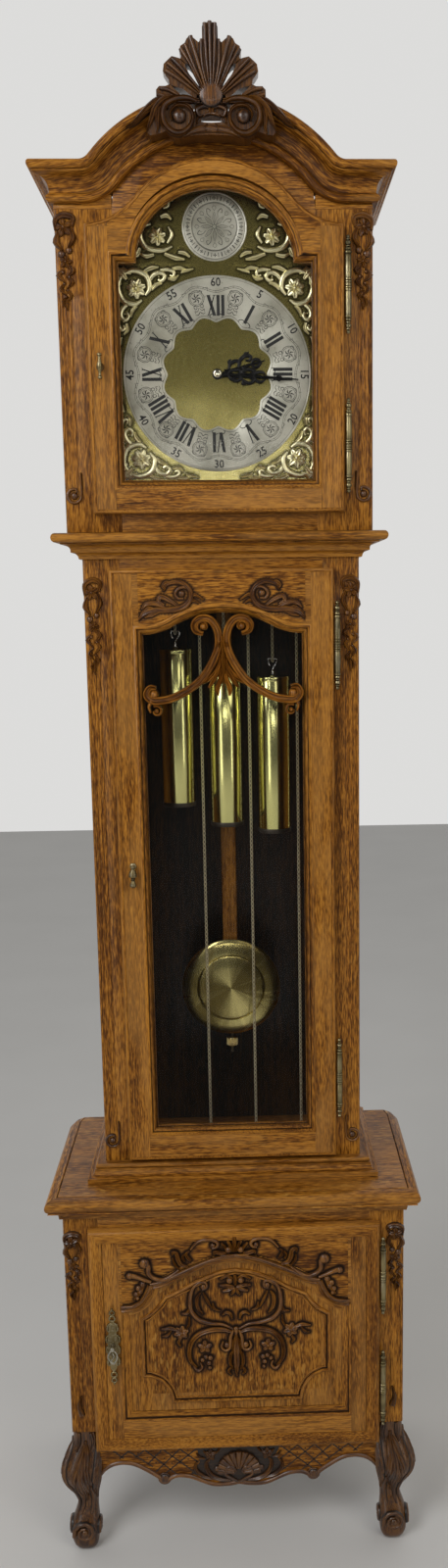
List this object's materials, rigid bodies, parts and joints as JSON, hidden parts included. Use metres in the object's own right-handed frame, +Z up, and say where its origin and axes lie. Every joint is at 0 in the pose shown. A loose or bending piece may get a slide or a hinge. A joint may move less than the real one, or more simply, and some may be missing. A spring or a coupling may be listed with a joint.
{
  "type": "longcase clock",
  "caption": "Carved oak longcase clock with an arched hood, a glazed trunk door over weights and pendulum, and a cupboard base on scroll feet.",
  "frame": {"origin": "On the floor, under the middle of the clock's bounding box.", "axes": "+Z up, -Y is the front with the dial and doors, +X is the viewer's right."},
  "size_m": [0.536, 0.316, 2.1],
  "materials": {
    "oak": "varnished, satin",
    "dark_oak": "dark stained carving, satin",
    "inner_oak": "stained, matt",
    "brass": "polished and lacquered",
    "old_brass": "antiqued",
    "silver": "silvered, matt",
    "black_steel": "blackened",
    "glass": "clear"
  },
  "bodies": {
    "case": {"base_side_left": "oak", "base_side_right": "oak", "base_floor": "inner_oak", "base_face_frame": "oak", "base_top": "oak", "foot_front_left": "dark_oak", "foot_front_right": "dark_oak", "foot_rear_left": "oak", "foot_rear_right": "oak", "back_board": "inner_oak", "trunk_plinth": "oak", "trunk_side_left": "oak", "trunk_side_right": "oak", "trunk_face_frame": "oak", "hood_base_moulding": "oak", "hood_side_left": "oak", "hood_side_right": "oak", "hood_face_frame": "oak", "hood_roof": "oak", "hood_cornice": "oak", "hood_crest": "dark_oak", "seat_board": "inner_oak", "movement": "brass", "dial_plate": "brass", "chapter_ring": "silver", "arch_boss": "silver", "chain_left": "brass", "chain_centre": "brass", "chain_right": "brass", "base_door_hinge_low_pin": "old_brass", "base_door_hinge_high_pin": "old_brass", "trunk_door_hinge_low_pin": "old_brass", "trunk_door_hinge_high_pin": "old_brass", "hood_door_hinge_low_pin": "old_brass", "hood_door_hinge_high_pin": "old_brass"},
    "base_door": {"base_door_frame": "oak", "base_door_panel": "oak", "base_door_escutcheon": "old_brass", "base_door_hinge_low_sleeve": "old_brass", "base_door_hinge_high_sleeve": "old_brass"},
    "base_key": {"base_door_key": "old_brass"},
    "trunk_door": {"trunk_door_frame": "oak", "trunk_door_glass": "glass", "trunk_door_scroll": "dark_oak", "trunk_door_hinge_low_sleeve": "old_brass", "trunk_door_hinge_high_sleeve": "old_brass"},
    "trunk_pull": {"trunk_door_pull": "old_brass"},
    "hood_door": {"hood_door_frame": "oak", "hood_door_glass": "glass", "hood_door_hinge_low_sleeve": "old_brass", "hood_door_hinge_high_sleeve": "old_brass"},
    "hood_knob": {"hood_door_knob": "old_brass"},
    "minute_hand": {"minute_hand": "black_steel"},
    "hour_hand": {"hour_hand": "black_steel"},
    "pendulum": {"pendulum_rod": "oak", "pendulum_bob": "brass"},
    "rating_nut": {"rating_nut": "brass"},
    "weight_left": {"weight_left": "brass"},
    "weight_centre": {"weight_centre": "brass"},
    "weight_right": {"weight_right": "brass"}
  },
  "joints": [
    {"name": "hood_door_hinge", "type": "hinge", "parent": "case", "child": "hood_door", "pos_m": [0.1722, -0.095, 1.69575], "axis": [0, 0, 1], "range_deg": [0, 110]},
    {"name": "trunk_door_hinge", "type": "hinge", "parent": "case", "child": "trunk_door", "pos_m": [0.1572, -0.079, 1.0195], "axis": [0, 0, 1], "range_deg": [0, 110]},
    {"name": "base_door_hinge", "type": "hinge", "parent": "case", "child": "base_door", "pos_m": [0.2152, -0.14, 0.335], "axis": [0, 0, 1], "range_deg": [0, 110]},
    {"name": "hood_knob_turn", "type": "hinge", "parent": "hood_door", "child": "hood_knob", "pos_m": [-0.151, -0.109, 1.695], "axis": [0, 1, 0], "range_deg": [0, 90]},
    {"name": "trunk_pull_swing", "type": "hinge", "parent": "trunk_door", "child": "trunk_pull", "pos_m": [-0.132, -0.0915, 1.029], "axis": [1, 0, 0], "range_deg": [-75, 0]},
    {"name": "base_key_turn", "type": "hinge", "parent": "base_door", "child": "base_key", "pos_m": [-0.179, -0.1465, 0.331], "axis": [0, 1, 0], "range_deg": [-90, 90]},
    {"name": "minute_hand_turn", "type": "hinge", "parent": "case", "child": "minute_hand", "pos_m": [0, -0.0668, 1.6915], "axis": [0, 1, 0], "continuous": true},
    {"name": "hour_hand_turn", "type": "hinge", "parent": "case", "child": "hour_hand", "pos_m": [0, -0.0645, 1.6915], "axis": [0, 1, 0], "continuous": true},
    {"name": "pendulum_swing", "type": "hinge", "parent": "case", "child": "pendulum", "pos_m": [0, 0.067, 1.6], "axis": [0, 1, 0], "range_deg": [-3.5, 3.5]},
    {"name": "rating_nut_turn", "type": "hinge", "parent": "pendulum", "child": "rating_nut", "pos_m": [0, 0.067, 0.716], "axis": [0, 0, 1], "continuous": true},
    {"name": "weight_left_fall", "type": "slide", "parent": "case", "child": "weight_left", "axis": [0, 0, 1], "range_m": [-0.44, 0.1], "deforming": ["chain_left"]},
    {"name": "weight_centre_fall", "type": "slide", "parent": "case", "child": "weight_centre", "axis": [0, 0, 1], "range_m": [-0.44, 0.1], "deforming": ["chain_centre"]},
    {"name": "weight_right_fall", "type": "slide", "parent": "case", "child": "weight_right", "axis": [0, 0, 1], "range_m": [-0.44, 0.1], "deforming": ["chain_right"]}
  ],
  "couplings": [
    {"joint": "hour_hand_turn", "follows": "minute_hand_turn", "ratio": 0.083333}
  ]
}
